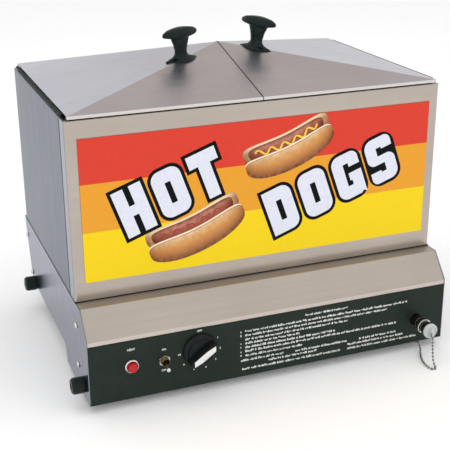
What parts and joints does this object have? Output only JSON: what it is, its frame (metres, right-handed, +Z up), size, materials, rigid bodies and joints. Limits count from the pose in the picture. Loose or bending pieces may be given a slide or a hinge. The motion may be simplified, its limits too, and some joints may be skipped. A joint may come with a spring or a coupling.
{
  "type": "countertop hot dog steamer",
  "caption": "Countertop hot dog steamer: a stainless cabinet with hinged pyramid lids over a low base with a control panel, a drain spout and lift-out trays.",
  "frame": {"origin": "on the counter, under the middle of the outline seen from above (the hanging chain not counted)", "axes": "+X to the right of the user who faces the controls, +Y towards the back, +Z up"},
  "size_m": [0.5408, 0.4598, 0.4623],
  "materials": {
    "stainless": "satin stainless sheet, straight grain",
    "stainless_inside": "mill-finish stainless sheet",
    "bright_metal": "bright plated",
    "panel_black": "satin black enamel with pale screen print",
    "phenolic": "moulded black phenolic, half gloss",
    "rubber": "moulded black rubber",
    "sign_print": "printed plastic panel, three colour bands",
    "lamp_red": "clear red moulding",
    "switch_brass": "nickel over brass, worn",
    "drain_dark": "dark coated pipe",
    "plug_grey": "moulded pale grey plastic",
    "heater_sheath": "heat-tinted metal sheath"
  },
  "bodies": {
    "cabinet": {"cabinet_front_panel": "stainless", "cabinet_left_panel": "stainless", "cabinet_right_panel": "stainless", "cabinet_back_panel": "stainless", "base_console": "stainless", "base_left_panel": "stainless", "base_right_panel": "stainless", "base_rear_cover": "stainless", "cabinet_top_frame": "stainless_inside", "center_divider": "stainless_inside", "water_tank": "stainless_inside", "tray_support_frame": "stainless_inside", "base_bottom_cover": "stainless_inside", "left_hinge_frame_leaf": "stainless_inside", "right_hinge_frame_leaf": "stainless_inside", "pilot_lamp_bezel": "bright_metal", "toggle_nut": "bright_metal", "thermostat_body": "bright_metal", "drain_collar": "bright_metal", "chain_lug": "bright_metal", "left_hinge_pin": "bright_metal", "right_hinge_pin": "bright_metal", "base_left_upper_screw": "bright_metal", "base_left_lower_screw": "bright_metal", "base_right_upper_screw": "bright_metal", "base_right_lower_screw": "bright_metal", "rear_cover_left_upper_screw": "bright_metal", "rear_cover_left_lower_screw": "bright_metal", "rear_cover_right_upper_screw": "bright_metal", "rear_cover_right_lower_screw": "bright_metal", "control_panel": "panel_black", "foot_front_left": "rubber", "foot_front_right": "rubber", "foot_rear_left": "rubber", "foot_rear_right": "rubber", "side_bumper_front": "rubber", "side_bumper_rear": "rubber", "lid_rest_left": "rubber", "lid_rest_center": "rubber", "lid_rest_right": "rubber", "cord_gland": "rubber", "sign_panel": "sign_print", "pilot_lamp_lens": "lamp_red", "toggle_switch_body": "switch_brass", "drain_pipe": "drain_dark", "heating_element": "heater_sheath"},
    "left_lid": {"left_lid": "stainless", "left_lid_handle": "phenolic", "left_handle_screw": "bright_metal", "left_hinge_lid_leaf": "stainless_inside"},
    "right_lid": {"right_lid": "stainless", "right_lid_handle": "phenolic", "right_handle_screw": "bright_metal", "right_hinge_lid_leaf": "stainless_inside"},
    "thermostat_knob": {"thermostat_knob": "phenolic"},
    "toggle_lever": {"toggle_lever": "bright_metal"},
    "drain_plug": {"drain_plug": "plug_grey", "drain_chain": "bright_metal"},
    "hot_dog_tray": {"hot_dog_tray": "stainless_inside"},
    "bun_tray": {"bun_tray": "stainless_inside"}
  },
  "joints": [
    {"name": "left_lid_hinge", "type": "hinge", "parent": "cabinet", "child": "left_lid", "pos_m": [-0.24998, 0.04025, 0.3785], "axis": [0, -1, 0], "range_deg": [0, 105]},
    {"name": "right_lid_hinge", "type": "hinge", "parent": "cabinet", "child": "right_lid", "pos_m": [0.26523, 0.04025, 0.3785], "axis": [0, 1, 0], "range_deg": [0, 105]},
    {"name": "thermostat_turn", "type": "hinge", "parent": "cabinet", "child": "thermostat_knob", "pos_m": [-0.10237, -0.18475, 0.065], "axis": [0, 1, 0], "range_deg": [-55, 215]},
    {"name": "toggle_throw", "type": "hinge", "parent": "cabinet", "child": "toggle_lever", "pos_m": [-0.15138, -0.17675, 0.0596], "axis": [-1, 0, 0], "range_deg": [0, 36]},
    {"name": "drain_plug_pull", "type": "slide", "parent": "cabinet", "child": "drain_plug", "axis": [0, -1, 0], "range_m": [0, 0.03]},
    {"name": "hot_dog_tray_lift", "type": "slide", "parent": "cabinet", "child": "hot_dog_tray", "axis": [0, 0, 1], "range_m": [0, 0.15]},
    {"name": "bun_tray_lift", "type": "slide", "parent": "cabinet", "child": "bun_tray", "axis": [0, 0, 1], "range_m": [0, 0.15]}
  ]
}
